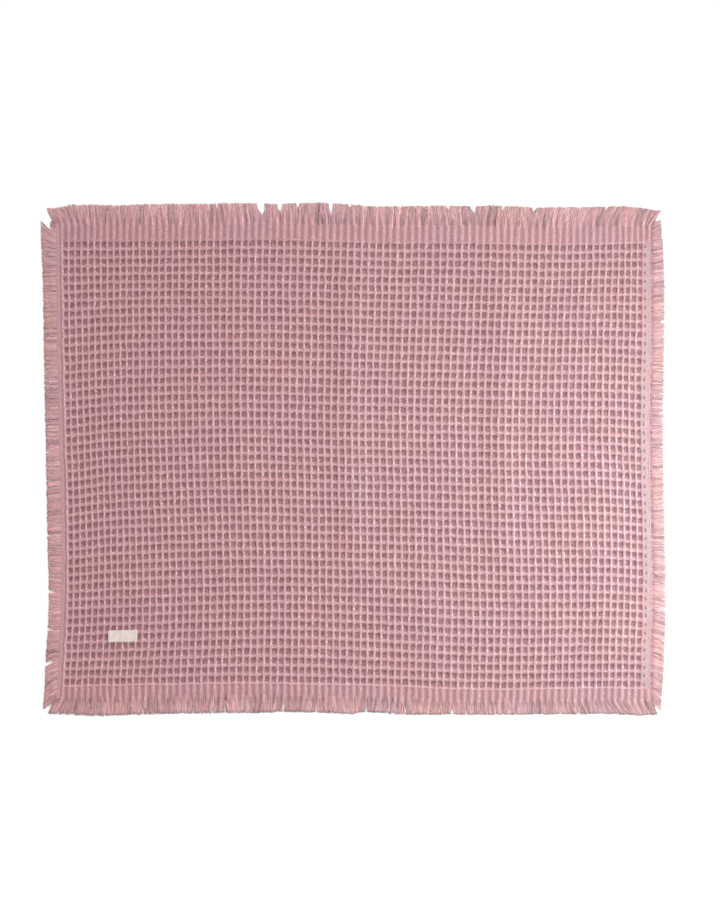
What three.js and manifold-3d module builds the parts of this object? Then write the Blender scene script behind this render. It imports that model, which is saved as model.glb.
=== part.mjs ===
// A waffle-woven baby blanket with a fringe on all four sides, laid flat.
// Millimetres. +X runs along the long side, +Y from the label's edge to the far edge, +Z up.
// The underside lies on z = 0, and the origin is under the middle of the outline, tips included.

import * as THREE from 'three';
import { mergeVertices } from 'three/addons/utils/BufferGeometryUtils.js';
import Module from 'manifold-3d';

const wasm = await Module();
wasm.setup();

// The woven body, before the weave is drawn out of true
const BODY_WIDTH = 1000;
const WAFFLE_BACK = 374;
const WAFFLE_FRONT = -382;
const CLOTH_THICK = 4.5;

// Brings the middle of the outline, tips included, over the origin
const BODY_OFFSET = { right: -0.73, up: -0.89 };

// The clear gap that parts the fringe and the label from the panel
const GAP = 0.3;

// Warp ends held straight beyond the panel, one rib for each ridge of the weave
const RIBS = 87;
const FIRST_RIB = -488;
const LAST_RIB = 490;
const RIB_PITCH = (LAST_RIB - FIRST_RIB) / (RIBS - 1);
const RIB_TOP = 4.4;
const RIB_VALLEY = 3.1;
const BACK_BAND = 28;
const FRONT_BAND = 20;

// Weft ends, rooted in the outermost strip of each selvedge
const SIDE_LOCKS = 63;
const SIDE_STRIP = 4;
const SIDE_STRIP_TOP = 3.6;

// One loose lock of yarn, widest at its root
const LOCK = { width: 8, tipWidth: 4.6, height: 2.9, tipHeight: 2.1, rooted: 1 };
const END_LOCK_STEPS = 3;
const SIDE_LOCK_STEPS = 2;
const RAGGED = 1.3;

// Two rows of seeds for each fringe, one for reach and one for lean, apart enough to share none
const SEED_ROWS = { back: 1, front: 3, left: 5, right: 7 };
const ROW_SEEDS = 1000;

// The small sewn-on label
const LABEL = { width: 50, length: 20, thick: 0.8, x: -384, y: -299 };

// Steps of the panel's grid, fine enough across for the creases
const CLOTH_COLUMNS = 50;
const CLOTH_ROWS = 12;

// Where the weave is pulled out of true, how far each pull reaches, and how far it moves the cloth
const PULLS = [
  { x: -500, y: -120, reachX: 100, reachY: 330, right: 10, up: 0 },
  { x: -270, y: 330, reachX: 170, reachY: 260, right: -8, up: 0 },
  { x: -250, y: 30, reachX: 230, reachY: 200, right: -6, up: 0 },
  { x: 80, y: 100, reachX: 150, reachY: 120, right: -3, up: 0 },
  { x: 330, y: 420, reachX: 260, reachY: 260, right: 16, up: 0 },
  { x: 420, y: -120, reachX: 200, reachY: 260, right: 11, up: 0 },
  { x: 260, y: -280, reachX: 150, reachY: 120, right: 5, up: 0 },
  { x: -300, y: -400, reachX: 220, reachY: 120, right: -5, up: 0 },
  { x: 540, y: 400, reachX: 60, reachY: 140, right: -9, up: 0 },
  { x: 540, y: -10, reachX: 60, reachY: 200, right: -9, up: 0 },
  { x: -500, y: -60, reachX: 65, reachY: 200, right: 0, up: -9 },
  { x: -330, y: 220, reachX: 120, reachY: 110, right: 0, up: 3 },
  { x: -190, y: -110, reachX: 160, reachY: 330, right: 0, up: 8 },
  { x: 50, y: 390, reachX: 110, reachY: 90, right: 0, up: -4 },
  { x: 330, y: 60, reachX: 190, reachY: 600, right: 0, up: -5 },
  { x: 220, y: -360, reachX: 130, reachY: 130, right: 0, up: -4 },
  { x: 340, y: 400, reachX: 120, reachY: 80, right: 0, up: -3 },
  { x: 520, y: -60, reachX: 90, reachY: 320, right: 0, up: -8 },
];

// Soft packing creases, which stand up a little from the surface below
const CREASES = [
  { x: 0, front: -94, back: 402, half: 26, rise: 3 },
  { x: 249, front: -68, back: 402, half: 24, rise: 2.5 },
  { x: -180, front: 60, back: 402, half: 28, rise: 1.5 },
  { x: 330, front: -330, back: -150, half: 30, rise: 1.5 },
];
const CREASE_FADE = 45;

// Loose fringe by where it grows: reach beyond the body, and lean of the tip along the edge
const BACK_LOCKS = [
  { at: -488, reach: 22, lean: -14 },
  { at: -462, reach: 27, lean: -7 },
  { at: -430, reach: 29, lean: -1 },
  { at: -380, reach: 28, lean: 0 },
  { at: -345, reach: 29, lean: 1 },
  { at: -318, reach: 30, lean: -4 },
  { at: -240, reach: 29, lean: 0 },
  { at: -190, reach: 30, lean: -3 },
  { at: -150, reach: 29, lean: -8 },
  { at: -140, reach: 29, lean: -3 },
  { at: -122, reach: 29, lean: -6 },
  { at: -112, reach: 29, lean: 0 },
  { at: -98, reach: 29, lean: 3 },
  { at: -60, reach: 30, lean: 1 },
  { at: -36, reach: 29, lean: -3 },
  { at: -20, reach: 29, lean: 2 },
  { at: 30, reach: 27, lean: 0 },
  { at: 110, reach: 28, lean: 2 },
  { at: 160, reach: 28, lean: -3 },
  { at: 196, reach: 28, lean: -4 },
  { at: 210, reach: 29, lean: 5 },
  { at: 250, reach: 29, lean: 0 },
  { at: 300, reach: 27, lean: 3 },
  { at: 340, reach: 28, lean: 8 },
  { at: 430, reach: 28, lean: 9 },
  { at: 468, reach: 27, lean: 11 },
  { at: 490, reach: 23, lean: 21 },
];
const FRONT_LOCKS = [
  { at: -488, reach: 26, lean: -15 },
  { at: -460, reach: 28, lean: -5 },
  { at: -425, reach: 30, lean: 0 },
  { at: -300, reach: 28, lean: 0 },
  { at: -225, reach: 29, lean: -3 },
  { at: -210, reach: 28, lean: 3 },
  { at: -160, reach: 29, lean: 0 },
  { at: -115, reach: 26, lean: -5 },
  { at: -60, reach: 26, lean: -3 },
  { at: -40, reach: 27, lean: 3 },
  { at: 0, reach: 28, lean: 3 },
  { at: 20, reach: 26, lean: -4 },
  { at: 80, reach: 27, lean: -1 },
  { at: 95, reach: 26, lean: 2 },
  { at: 150, reach: 25, lean: -4 },
  { at: 175, reach: 23, lean: 3 },
  { at: 240, reach: 22, lean: 0 },
  { at: 300, reach: 22, lean: 2 },
  { at: 345, reach: 23, lean: 8 },
  { at: 400, reach: 23, lean: 5 },
  { at: 430, reach: 22, lean: 12 },
  { at: 490, reach: 20, lean: 18 },
];
const LEFT_LOCKS = [
  { at: -400, reach: 24, lean: -23 },
  { at: -380, reach: 22, lean: -15 },
  { at: -350, reach: 22, lean: -11 },
  { at: -325, reach: 23, lean: -5 },
  { at: -290, reach: 20, lean: 2 },
  { at: -255, reach: 20, lean: -2 },
  { at: -225, reach: 19, lean: 3 },
  { at: -130, reach: 22, lean: 1 },
  { at: -118, reach: 22, lean: -3 },
  { at: 0, reach: 23, lean: -2 },
  { at: 180, reach: 23, lean: 0 },
  { at: 320, reach: 23, lean: -2 },
  { at: 375, reach: 24, lean: 0 },
  { at: 402, reach: 26, lean: 7 },
];
const RIGHT_LOCKS = [
  { at: -400, reach: 18, lean: -10 },
  { at: -340, reach: 20, lean: -9 },
  { at: -270, reach: 20, lean: -7 },
  { at: -200, reach: 20, lean: -3 },
  { at: -90, reach: 20, lean: 0 },
  { at: 60, reach: 21, lean: -1 },
  { at: 180, reach: 21, lean: 0 },
  { at: 300, reach: 19, lean: 4 },
  { at: 360, reach: 18, lean: 7 },
  { at: 402, reach: 15, lean: 8 },
];

// Colours and finish of the cotton and of the label
const COTTON = { color: 0xc2888c, roughness: 0.92, metalness: 0 };
const TAPE = { color: 0xeadad3, roughness: 0.8, metalness: 0 };

// How far the cloth at a place lies from where a true weave would have it
function pull(x, y) {
  const moved = { ...BODY_OFFSET };
  for (const p of PULLS) {
    const share = Math.exp(-(((x - p.x) / p.reachX) ** 2) - ((y - p.y) / p.reachY) ** 2);
    moved.right += share * p.right;
    moved.up += share * p.up;
  }
  return moved;
}

// How far a crease holds the cloth off the surface
function lift(x, y) {
  let height = 0;
  for (const c of CREASES) {
    const across = Math.exp(-(((x - c.x) / c.half) ** 2));
    const front = THREE.MathUtils.smoothstep(y, c.front - CREASE_FADE, c.front);
    const back = 1 - THREE.MathUtils.smoothstep(y, c.back - CREASE_FADE, c.back);
    height += c.rise * across * front * back;
  }
  return height;
}

// Moves each point of a piece that is drawn true to where the real cloth has it
function layDown(geometry) {
  const points = geometry.getAttribute('position');
  for (let i = 0; i < points.count; i += 1) {
    const x = points.getX(i);
    const y = points.getY(i);
    const moved = pull(x, y);
    points.setXYZ(i, x + moved.right, y + moved.up, points.getZ(i) + lift(x, y));
  }
  return geometry;
}

// A table's named column at a place between two rows
function columnAt(rows, name, at) {
  let before = rows[0];
  for (const row of rows) {
    if (row.at >= at) {
      const span = row.at - before.at;
      const share = span > 0 ? (at - before.at) / span : 0;
      return before[name] + (row[name] - before[name]) * share;
    }
    before = row;
  }
  return before[name];
}

// An even scatter from -1 to 1 that is the same on every build
function scatter(index, seedRow) {
  return THREE.MathUtils.seededRandom(seedRow * ROW_SEEDS + index) * 2 - 1;
}

function solidOf(geometry) {
  geometry.deleteAttribute('normal');
  geometry.deleteAttribute('uv');
  const merged = mergeVertices(geometry);
  return new wasm.Manifold(new wasm.Mesh({
    numProp: 3,
    vertProperties: new Float32Array(merged.getAttribute('position').array),
    triVerts: new Uint32Array(merged.getIndex().array),
  }));
}

function geometryOf(solid) {
  const mesh = solid.getMesh();
  const geometry = new THREE.BufferGeometry();
  geometry.setAttribute('position', new THREE.BufferAttribute(mesh.vertProperties, 3));
  geometry.setIndex(new THREE.BufferAttribute(mesh.triVerts, 1));
  geometry.computeVertexNormals();
  return geometry;
}

function pieceOf(name, geometry, finish) {
  const mesh = new THREE.Mesh(geometry, new THREE.MeshStandardMaterial(finish));
  mesh.name = name;
  return mesh;
}

function slab(left, right, front, back, top, columns, rows) {
  const geometry = new THREE.BoxGeometry(right - left, back - front, top, columns, rows, 1);
  return geometry.translate((left + right) / 2, (front + back) / 2, top / 2);
}

// A lock drawn along +Y from its root, its underside flat on z = 0, its tip leaning to +X
function lockGeometry(reach, lean, steps) {
  const length = reach + LOCK.rooted;
  const geometry = new THREE.BoxGeometry(1, length, 1, 1, steps, 1);
  const points = geometry.getAttribute('position');
  for (let i = 0; i < points.count; i += 1) {
    const along = (points.getY(i) + length / 2) / length;
    const width = THREE.MathUtils.lerp(LOCK.width, LOCK.tipWidth, along);
    const height = THREE.MathUtils.lerp(LOCK.height, LOCK.tipHeight, along);
    points.setXYZ(
      i,
      points.getX(i) * width + lean * along ** 2,
      along * length - LOCK.rooted,
      (points.getZ(i) + 0.5) * height,
    );
  }
  return geometry;
}

// Joins one lock for each root to the strip that backs them. A root has its place on the edge,
// its place along it, and the turn that points the lock outward.
function fringe(name, strip, roots, table, steps, seedRow) {
  let solid = solidOf(layDown(strip));
  roots.forEach((root, index) => {
    const reach = columnAt(table, 'reach', root.at) + scatter(index, seedRow) * RAGGED;
    const tableLean = columnAt(table, 'lean', root.at) * root.leanSign;
    const lean = tableLean + scatter(index, seedRow + 1) * RAGGED;
    const moved = pull(root.x, root.y);
    const lock = lockGeometry(reach, lean, steps);
    lock.rotateZ(root.turn);
    lock.translate(root.x + moved.right, root.y + moved.up, 0);
    solid = solid.add(solidOf(lock));
  });
  return pieceOf(name, geometryOf(solid), COTTON);
}

// The ribbed band beyond one end of the panel, its top zigzagging from rib to valley
function ribbedBand(front, back) {
  const left = FIRST_RIB - RIB_PITCH / 2;
  const right = LAST_RIB + RIB_PITCH / 2;
  const geometry = slab(left, right, front, back, RIB_TOP, RIBS * 2, 1);
  const points = geometry.getAttribute('position');
  for (let i = 0; i < points.count; i += 1) {
    const halfPitches = Math.round((points.getX(i) - left) / (RIB_PITCH / 2));
    const inValley = halfPitches % 2 === 0;
    if (inValley && points.getZ(i) > 0) {
      points.setZ(i, RIB_VALLEY);
    }
  }
  return geometry;
}

function endRoots(y, outward) {
  const roots = [];
  for (let i = 0; i < RIBS; i += 1) {
    const x = FIRST_RIB + i * RIB_PITCH;
    roots.push({ x, y, at: x, turn: outward > 0 ? 0 : Math.PI, leanSign: outward });
  }
  return roots;
}

function sideRoots(x, outward, front, back) {
  const pitch = (back - front) / SIDE_LOCKS;
  const roots = [];
  for (let i = 0; i < SIDE_LOCKS; i += 1) {
    const y = front + (i + 0.5) * pitch;
    roots.push({ x, y, at: y, turn: (-outward * Math.PI) / 2, leanSign: -outward });
  }
  return roots;
}

function clothPanel() {
  const halfWidth = BODY_WIDTH / 2 - SIDE_STRIP;
  const panel = slab(
    -halfWidth,
    halfWidth,
    WAFFLE_FRONT,
    WAFFLE_BACK,
    CLOTH_THICK,
    CLOTH_COLUMNS,
    CLOTH_ROWS,
  );
  return pieceOf('cloth', geometryOf(solidOf(layDown(panel))), COTTON);
}

function backFringe() {
  const edge = WAFFLE_BACK + BACK_BAND;
  const band = ribbedBand(WAFFLE_BACK + GAP, edge);
  const roots = endRoots(edge, 1);
  return fringe('fringe_top', band, roots, BACK_LOCKS, END_LOCK_STEPS, SEED_ROWS.back);
}

function frontFringe() {
  const edge = WAFFLE_FRONT - FRONT_BAND;
  const band = ribbedBand(edge, WAFFLE_FRONT - GAP);
  const roots = endRoots(edge, -1);
  return fringe('fringe_bottom', band, roots, FRONT_LOCKS, END_LOCK_STEPS, SEED_ROWS.front);
}

function sideFringe(name, outward, table, seedRow) {
  const edge = (outward * BODY_WIDTH) / 2;
  const inner = outward * (BODY_WIDTH / 2 - SIDE_STRIP + GAP);
  const front = WAFFLE_FRONT - FRONT_BAND;
  const back = WAFFLE_BACK + BACK_BAND;
  const strip = slab(
    Math.min(edge, inner),
    Math.max(edge, inner),
    front,
    back,
    SIDE_STRIP_TOP,
    1,
    CLOTH_ROWS,
  );
  const roots = sideRoots(edge, outward, front, back);
  return fringe(name, strip, roots, table, SIDE_LOCK_STEPS, seedRow);
}

function label() {
  const moved = pull(LABEL.x, LABEL.y);
  const plate = new THREE.BoxGeometry(LABEL.width, LABEL.length, LABEL.thick);
  const mesh = pieceOf('label', plate, TAPE);
  mesh.position.set(
    LABEL.x + moved.right,
    LABEL.y + moved.up,
    CLOTH_THICK + GAP + LABEL.thick / 2,
  );
  return mesh;
}

const blanket = new THREE.Group();
blanket.add(clothPanel());
blanket.add(backFringe());
blanket.add(frontFringe());
blanket.add(sideFringe('fringe_left', -1, LEFT_LOCKS, SEED_ROWS.left));
blanket.add(sideFringe('fringe_right', 1, RIGHT_LOCKS, SEED_ROWS.right));
blanket.add(label());

export default blanket;
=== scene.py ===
# A waffle-woven baby blanket with a fringe on all four sides, laid flat: its finish, light and camera.
import math
from collections import namedtuple

import bmesh
import bpy
import numpy as np
from mathutils import Matrix, Vector


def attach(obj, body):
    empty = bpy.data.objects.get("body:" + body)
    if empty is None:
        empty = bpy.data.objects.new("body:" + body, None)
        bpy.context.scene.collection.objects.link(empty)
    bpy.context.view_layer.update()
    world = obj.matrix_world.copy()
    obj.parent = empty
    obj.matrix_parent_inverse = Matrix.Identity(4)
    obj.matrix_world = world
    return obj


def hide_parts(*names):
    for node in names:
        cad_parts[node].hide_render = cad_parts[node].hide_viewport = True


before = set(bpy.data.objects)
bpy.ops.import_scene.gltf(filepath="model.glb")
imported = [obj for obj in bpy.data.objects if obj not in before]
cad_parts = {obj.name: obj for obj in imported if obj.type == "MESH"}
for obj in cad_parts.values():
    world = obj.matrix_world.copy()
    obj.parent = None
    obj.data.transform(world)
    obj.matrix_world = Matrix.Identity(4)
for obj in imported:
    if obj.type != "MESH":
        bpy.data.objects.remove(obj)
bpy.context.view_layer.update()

# Sizes below are in millimetres of the cloth, and MM brings them to metres
MM = 0.001

# The woven body before the weave is drawn out of true. Its middle lies a little off the frame's
BODY_WIDTH = 1000
HALF_WIDTH = BODY_WIDTH / 2
WAFFLE_BACK = 374
WAFFLE_FRONT = -382
BACK_BAND = 28
FRONT_BAND = 20
SIDE_STRIP = 4
BODY_BACK = WAFFLE_BACK + BACK_BAND
BODY_FRONT = WAFFLE_FRONT - FRONT_BAND
BODY_OFFSET = Vector((-0.73, -0.89))

# Cells of the weave: a ridge on each side of every column and row
COLUMNS = 85
ROWS = 51
FIRST_RIB = -489
LAST_RIB = 483
COLUMN_PITCH = (LAST_RIB - FIRST_RIB) / COLUMNS
ROW_PITCH = (WAFFLE_BACK - WAFFLE_FRONT) / ROWS

# Where a cell's grid lines stand, as shares of its pitch from one ridge to the next
COLUMN_LINES = (0, 0.2, 0.5, 0.8)
ROW_LINES = (0, 0.2, 0.5, 0.8)

# The cloth's surface over a ridge and over the floor of a cell, and its underside below a ridge
CREST = 4.5
CELL_FLOOR = 0.7
UNDER_RIDGE = 2.4
LEAST_THICKNESS = 0.8

# Half the width of a ridge, a weft ridge's share of a warp ridge's height, how squarely the two
# join, and how far a crossing of two ridges wanders sideways and in height
WARP_RIDGE_HALF = 4.1
WEFT_RIDGE_HALF = 4.9
WEFT_RIDGE_SHARE = 0.86
RIDGE_JOIN = 4
RIDGE_WANDER = 0.42
CREST_WANDER = 0.2
CREST_WANDER_LIMIT = 0.25

# The plain selvedge outside the last ridge on each side: place, and height as a share of the way
# from a cell's floor to a crest. One small dot beside each row of cells sinks into the right one,
# between the two places of DOTS. Then their middle, their height, and how far from a weft ridge each
# one starts, as a share of a row
Rise = namedtuple("Rise", "at share")
LEFT_SELVEDGE = (Rise(-496, 0.6), Rise(-493.6, 0.64), Rise(-491.4, 0.48), Rise(-490.4, 0.74))
RIGHT_SELVEDGE = (
    Rise(485, 0.74), Rise(487.1, 0.7), Rise(489.2, 0.74), Rise(491.4, 0.68), Rise(494, 0.66), Rise(496, 0.6),
)
DOTS = (485, 489.2)
DOT_PLACE = 487.1
DOT_FLOOR = 0.3
DOT_GAP = 0.3

# The ribbed bands beyond the waffle: their ribs and valleys, the width over which they start, how
# far they drop towards the loose ends, grid lines a rib, and grid lines from the waffle outwards
RIB_TOP = 4.4
RIB_VALLEY = 2.5
BAND_START = 3.5
BAND_DROP = 0.9
RIB_PARTS = 6
BAND_LINES = (0, 0.06, 0.13, 0.24, 0.4, 0.56, 0.72, 0.87, 1)

# The narrow strips beyond the selvedges: their top, their drop at the edge, the line sunk into the
# right one, and grid lines across and along
STRIP_TOP = 3.3
STRIP_DROP = 1.1
STRIP_SUNK = 1.8
STRIP_ACROSS = 7
STRIP_DOWN = 4 * ROWS + 1

# Where the weave is pulled out of true, how far each pull reaches, and how far it moves the cloth
Pull = namedtuple("Pull", "x y reach_x reach_y right up")
PULLS = (
    Pull(-500, -120, 100, 330, 10, 0),
    Pull(-270, 330, 170, 260, -8, 0),
    Pull(-250, 30, 230, 200, -6, 0),
    Pull(80, 100, 150, 120, -3, 0),
    Pull(330, 420, 260, 260, 16, 0),
    Pull(420, -120, 200, 260, 11, 0),
    Pull(260, -280, 150, 120, 5, 0),
    Pull(-300, -400, 220, 120, -5, 0),
    Pull(540, 400, 60, 140, -9, 0),
    Pull(540, -10, 60, 200, -7, 0),
    Pull(340, 0, 100, 110, -3, 0),
    Pull(-50, 290, 130, 70, -2, 0),
    Pull(-380, -390, 150, 60, -3, 0),
    Pull(330, -390, 160, 50, 3, 0),
    Pull(-500, -60, 65, 200, 0, -9),
    Pull(-330, 220, 120, 110, 0, 3),
    Pull(-190, -110, 160, 330, 0, 8),
    Pull(50, 390, 110, 90, 0, -4),
    Pull(330, 60, 190, 600, 0, -5),
    Pull(220, -360, 130, 130, 0, -4),
    Pull(340, 400, 120, 80, 0, -3),
    Pull(520, -60, 90, 320, 0, -8),
    Pull(20, -190, 150, 130, 0, 4),
    Pull(180, -110, 120, 100, 0, 2),
    Pull(300, 350, 280, 90, 0, -3),
    Pull(-380, 370, 190, 70, 0, -4),
    Pull(-490, 150, 60, 180, 0, -3),
    Pull(-130, 220, 120, 70, 0, 3),
    Pull(0, 330, 500, 150, 0, -2),
    Pull(-100, -300, 120, 60, 0, 3),
    Pull(500, 50, 50, 400, 0, -2),
)

# Soft packing creases, which stand up a little from the surface below
Crease = namedtuple("Crease", "x front back half rise")
CREASES = (
    Crease(0, -130, 402, 28, 4.2),
    Crease(249, -120, 402, 26, 3.8),
    Crease(-180, 20, 402, 30, 1.5),
    Crease(330, -330, -180, 30, 1.5),
    Crease(400, -240, 60, 28, 1.5),
    Crease(130, -330, -150, 28, 1.5),
)
CREASE_FADE = 130

# Loose ends by where they grow: reach beyond the body, and lean of the tip along the edge
Lock = namedtuple("Lock", "at reach lean")
BACK_LOCKS = (
    Lock(-488, 25, -14), Lock(-462, 31, -7), Lock(-430, 31, -1), Lock(-380, 30, 0), Lock(-345, 32, 1),
    Lock(-318, 32, -4), Lock(-240, 31, 0), Lock(-190, 32, -3), Lock(-150, 31, -8), Lock(-140, 31, -3),
    Lock(-122, 31, -6), Lock(-112, 31, 0), Lock(-98, 32, 3), Lock(-60, 34, 1), Lock(-36, 34, -3),
    Lock(-20, 34, 2), Lock(30, 31, 0), Lock(110, 32, 2), Lock(160, 32, -3), Lock(196, 32, -4),
    Lock(210, 33, 5), Lock(250, 33, 0), Lock(300, 32, 3), Lock(340, 33, 8), Lock(430, 32, 9),
    Lock(468, 29, 11), Lock(490, 24, 16),
)
FRONT_LOCKS = (
    Lock(-488, 26, -13), Lock(-460, 28, -5), Lock(-425, 30, 0), Lock(-300, 28, 0), Lock(-225, 29, -3),
    Lock(-210, 28, 3), Lock(-160, 29, 0), Lock(-115, 26, -5), Lock(-60, 26, -3), Lock(-40, 27, 3),
    Lock(0, 28, 3), Lock(20, 24, -4), Lock(50, 24, -3), Lock(80, 26, -1), Lock(95, 26, 2), Lock(150, 24, -4),
    Lock(175, 23, 3), Lock(240, 22, 0), Lock(300, 22, 2), Lock(345, 23, 8), Lock(400, 23, 5),
    Lock(425, 24, 17), Lock(465, 25, 15), Lock(485, 24, 13), Lock(498, 23, 12),
)
LEFT_LOCKS = (
    Lock(-400, 22, -18), Lock(-380, 20, -15), Lock(-350, 20, -11), Lock(-325, 21, -5), Lock(-290, 19, 2),
    Lock(-255, 19, -2), Lock(-225, 19, 3), Lock(-130, 22, 1), Lock(-118, 22, -3), Lock(0, 22, -2),
    Lock(180, 21, 0), Lock(320, 21, -2), Lock(355, 23, 4), Lock(374, 24, 13), Lock(384, 24, 22),
    Lock(387, 9, 5), Lock(402, 7, 4),
)
RIGHT_LOCKS = (
    Lock(-402, 17, -17), Lock(-385, 18, -13), Lock(-340, 21, -9), Lock(-270, 22, -7), Lock(-200, 22, -3),
    Lock(-90, 22, 0), Lock(60, 22, -1), Lock(180, 22, 0), Lock(300, 22, 4), Lock(360, 20, 7),
    Lock(402, 16, 8),
)

# Places where the loose ends part: where, how wide at the tips, and how far in from them
Parting = namedtuple("Parting", "at width depth")
BACK_PARTINGS = (
    Parting(-403, 2.5, 6), Parting(-341, 2.2, 19), Parting(-243, 2, 12), Parting(-228, 2, 14),
    Parting(-150, 9, 21), Parting(-120, 6, 14), Parting(-94, 5, 8), Parting(-34, 5, 21), Parting(-6, 4, 8),
    Parting(41, 3, 4), Parting(80, 3, 5), Parting(164, 4, 7), Parting(207, 7, 11), Parting(253, 4, 9),
    Parting(305, 5, 7), Parting(420, 3, 7),
)
FRONT_PARTINGS = (
    Parting(-455, 1.2, 8), Parting(-284, 1.5, 12), Parting(-216, 1.8, 21), Parting(-167, 1.2, 12),
    Parting(-113, 2, 21), Parting(-59, 2.2, 16), Parting(-8, 2, 14), Parting(60, 1.6, 10),
    Parting(89, 2.2, 16), Parting(131, 1.6, 12), Parting(168, 2.2, 16), Parting(190, 1.4, 10),
    Parting(229, 1.8, 12), Parting(265, 2, 12), Parting(305, 2, 12), Parting(345, 1.6, 11),
)
LEFT_PARTINGS = (
    Parting(-339, 4, 16), Parting(-289, 3, 15), Parting(-226, 2.8, 14),
    Parting(-126, 2, 8), Parting(60, 1.5, 6), Parting(385.5, 2, 8),
)
RIGHT_PARTINGS = (Parting(-300, 2.5, 8), Parting(-140, 2, 7), Parting(20, 2, 7), Parting(230, 2.5, 8))

# How loose ends lie: how wide a bunch of them is, how far bunches lean and rise at random, and how
# far a bunch gathers to its middle
Manner = namedtuple("Manner", "bunch lean rise gather")
WARP_ENDS = Manner(COLUMN_PITCH / 2, 1.4, 0.35, 0.2)
WEFT_ENDS = Manner(3.6, 0.8, 0.15, 0.08)

# One side of the blanket: which way its ends point, how far out they root, half its length, how its
# ends lie, how far its partings close again at the tips, and the seed of its random draws
Edge = namedtuple("Edge", "node name out root half manner locks partings closed seed")
EDGES = (
    Edge("fringe_top", "top", (0, 1), BODY_BACK, HALF_WIDTH, WARP_ENDS, BACK_LOCKS, BACK_PARTINGS, 0, 11),
    Edge(
        "fringe_bottom", "bottom", (0, -1), -BODY_FRONT, HALF_WIDTH, WARP_ENDS,
        FRONT_LOCKS, FRONT_PARTINGS, 0.3, 12,
    ),
    Edge("fringe_left", "left", (-1, 0), HALF_WIDTH, BODY_BACK, WEFT_ENDS, LEFT_LOCKS, LEFT_PARTINGS, 0, 13),
    Edge(
        "fringe_right", "right", (1, 0), HALF_WIDTH, BODY_BACK, WEFT_ENDS,
        RIGHT_LOCKS, RIGHT_PARTINGS, 0.3, 14,
    ),
)

# One loose yarn: its radius in the upper and the lower layer, the step to the next one, its sides,
# how far inside the edge it starts, its steps lengthwise in each layer, and the share of them that
# is held in the cloth
YARN_RADIUS = 0.62
UNDER_RADIUS = 0.85
YARN_PITCH = 1.06
YARN_SIDES = 5
YARN_ROOTED = 7
UNDER_STEPS = 6
OVER_STEPS = 10
HELD_SHARE = 0.2

# How far bunches and yarns differ at random. The lower the tail, the more of them stray far
BUNCH_LEAST = 0.6
BUNCH_MOST = 1.4
PLACE_SPREAD = 0.12
BUNCH_REACH_SPREAD = 0.4
YARN_REACH_SPREAD = 0.55
YARN_LEAN_SPREAD = 0.8
YARN_RISE_SPREAD = 0.12
RADIUS_SPREAD = 0.1
FRAY_SPREAD = 0.7
TONE_SHARE = 0.6
TONE_STRENGTH = 0.14
STRAY_TAIL = 4

# How far from a parting yarns stray less, from a corner lean early, and from a parting give way to it
CALM_REACH = 7
CORNER_REACH = 10
PARTING_REACH = 5

# How far a yarn waves sideways and how often, how high each layer lies, and how much thinner tips are
WAVE_HEIGHT = 0.7
WAVE_TURN = 7
OVER_HEIGHT = 1.5
UNDER_HEIGHT = 0.5
TIP_TAPER = 0.25

# How deep yarns of the upper layer lie below the surface at the cloth's edge, how much deeper they
# start, and the lower layer's height there as a share of theirs
EDGE_DEPTH = 0.3
START_DEPTH = 0.9
UNDER_SHARE = 0.35

# The small sewn-on label: its place and size, the ends turned under, how thick one layer is as a
# share, its rounded rim, and the stitches across each end
LABEL = {"width": 51.5, "length": 19.6, "thick": 1.3, "x": -385.2, "y": -298.6, "under": 4.6}
LABEL_HEM = 4
LAYER_SHARE = 0.62
HEM_SHARE = 0.3
LABEL_RIM = 0.7
LABEL_RIPPLE = 0.1
STITCHES = 6
STITCH_LENGTH = 2.2
STITCH_RADIUS = 0.28
STITCH_INSET = 1.8

# Yarns across one cell each way, turns of twist along a loose end, and the pitch of the tape's threads in
# metres
WARP_YARNS = 8
WEFT_YARNS = 9
YARN_TURNS = 14
TAPE_THREAD = 0.0006

# The drawn weave, in shares of a cell: how far cells are out of shape and how often a cell that
# changes, how the thin painted highlight lines drift, bow and fade where ridges cross, how far the
# noise of two such lines is apart, and how much wider the first ridge is
CELL_WOBBLE = 0.3
CELL_WOBBLE_SCALE = 1.7
FINE_WOBBLE = 0.2
FINE_WOBBLE_SCALE = 5.3
LINE_DRIFT = 0.1
LINE_BOW = 0.13
WARP_LINE_CROSSED = 0.3
WEFT_LINE_CROSSED = 0.6
LINE_STEP = 7.3
FIRST_RIB_EXTRA = 0.1

# Colours as linear values
CREST_PINK = (0.51, 0.243, 0.255, 1)
# A painted highlight along the crests of the ridges and ribs
HIGHLIGHT_PINK = (0.8, 0.515, 0.53, 1)
WEFT_PINK = (0.465, 0.213, 0.226, 1)
# Painted shade on the floors of the cells, a lighter and a darkest one; the darkest also on the sunk parts of
# the selvedges
HALF_SHADE_PINK = (0.375, 0.163, 0.178, 1)
DEEP_SHADE_PINK = (0.205, 0.076, 0.088, 1)
# Painted shade in the bands' grooves, and on yarns where they leave a groove or the sunk strip
GROOVE_SHADE_PINK = (0.38, 0.16, 0.178, 1)
STRIP_PINK = (0.435, 0.222, 0.243, 1)
DOT_PINK = (0.25, 0.12, 0.135, 1)
YARN_PINK = (0.575, 0.296, 0.304, 1)
WARM_TINT = (1.04, 1.0, 0.96, 1)
COOL_TINT = (0.97, 0.99, 1.06, 1)
TAPE_CREAM = (0.7, 0.52, 0.495, 1)
TAPE_SHADE = (0.61, 0.455, 0.43, 1)
FLOOR_WHITE = (0.92, 0.92, 0.92, 1)

# The camera stands straight above, its place in metres, and its lens and sensor in millimetres
EYE = (0.01275, 0.01512, 3.585)
LENS = 85
SENSOR = 36

# The floor's reach each way, and how far below the blanket it lies, in metres
FLOOR_REACH = 20
FLOOR_BELOW = 0.0001


# Places

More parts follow.
